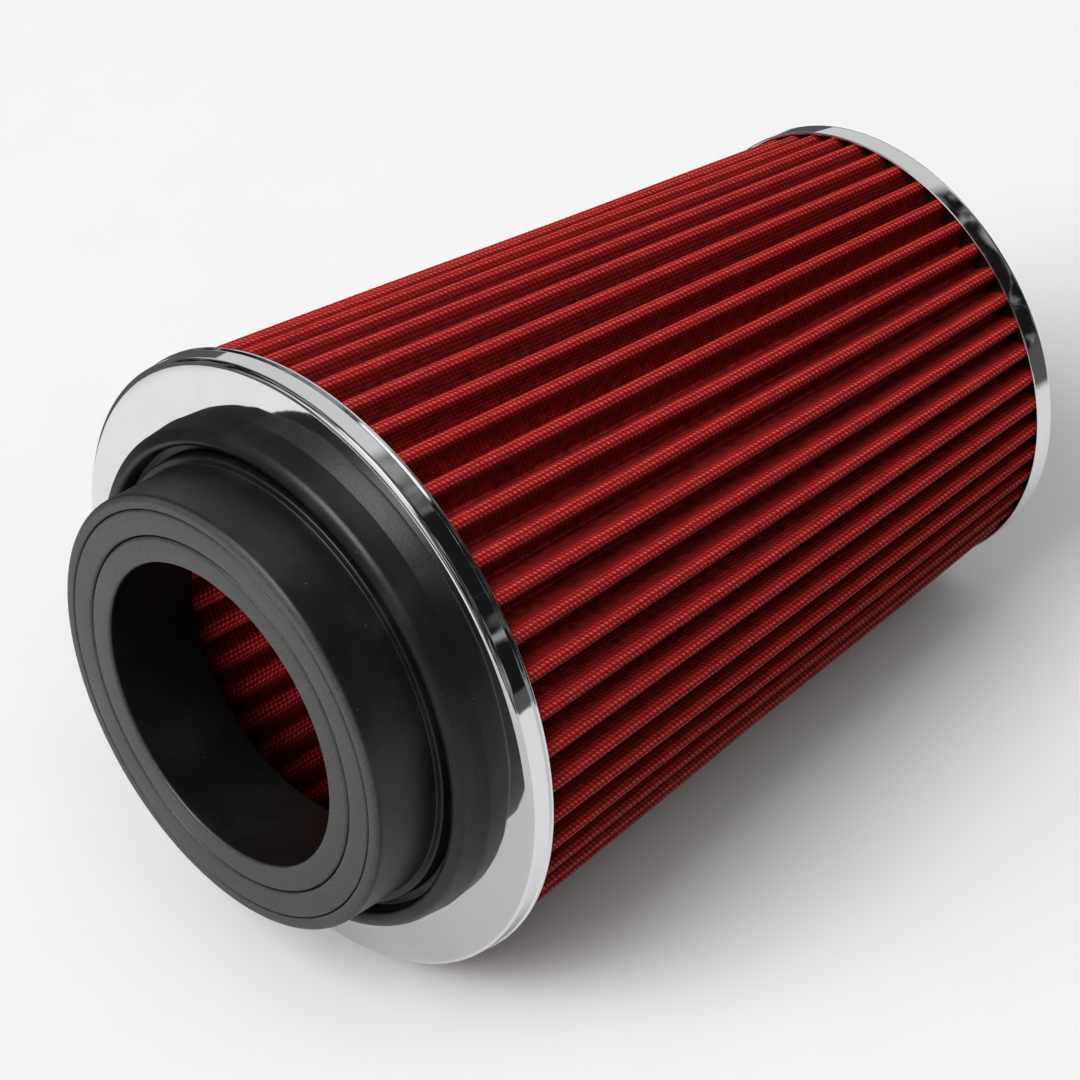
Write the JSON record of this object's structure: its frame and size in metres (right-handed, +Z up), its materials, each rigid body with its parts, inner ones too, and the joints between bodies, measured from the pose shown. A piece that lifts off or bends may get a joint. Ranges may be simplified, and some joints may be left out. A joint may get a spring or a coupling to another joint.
{
  "type": "air filter",
  "caption": "Conical pleated air filter with chromed base plate and end cap and a rubber clamp-on neck holding two push-in reducer rings.",
  "frame": {"origin": "centre of the neck's open face, on the filter's axis", "axes": "+Y along the filter's axis from the open neck to the closed end cap; -Y is the way the intake stub leaves; +Z up"},
  "size_m": [0.1536, 0.22, 0.1536],
  "materials": {
    "neck_rubber": "satin moulded rubber with a fine dust bloom",
    "chrome_plate": "mirror polished",
    "potting": "cast polyurethane, satin",
    "red_screen": "woven aluminium wire mesh with a red coating",
    "oiled_gauze": "oiled cotton gauze",
    "clip_steel": "zinc plated"
  },
  "bodies": {
    "housing": {"neck_boot": "neck_rubber", "base_plate": "chrome_plate", "end_cap": "chrome_plate", "base_potting": "potting", "cap_potting": "potting", "outer_screen": "red_screen", "inner_screen": "red_screen", "gauze_ply_1": "oiled_gauze", "gauze_ply_2": "oiled_gauze", "gauze_ply_3": "oiled_gauze", "gauze_ply_4": "oiled_gauze", "media_seam_clip": "clip_steel"},
    "outer_ring": {"reducer_ring_outer": "neck_rubber"},
    "inner_ring": {"reducer_ring_inner": "neck_rubber"}
  },
  "joints": [
    {"name": "outer_ring_pull", "type": "slide", "parent": "housing", "child": "outer_ring", "axis": [0, -1, 0], "range_m": [0, 0.035]},
    {"name": "inner_ring_pull", "type": "slide", "parent": "outer_ring", "child": "inner_ring", "axis": [0, -1, 0], "range_m": [0, 0.033]}
  ]
}
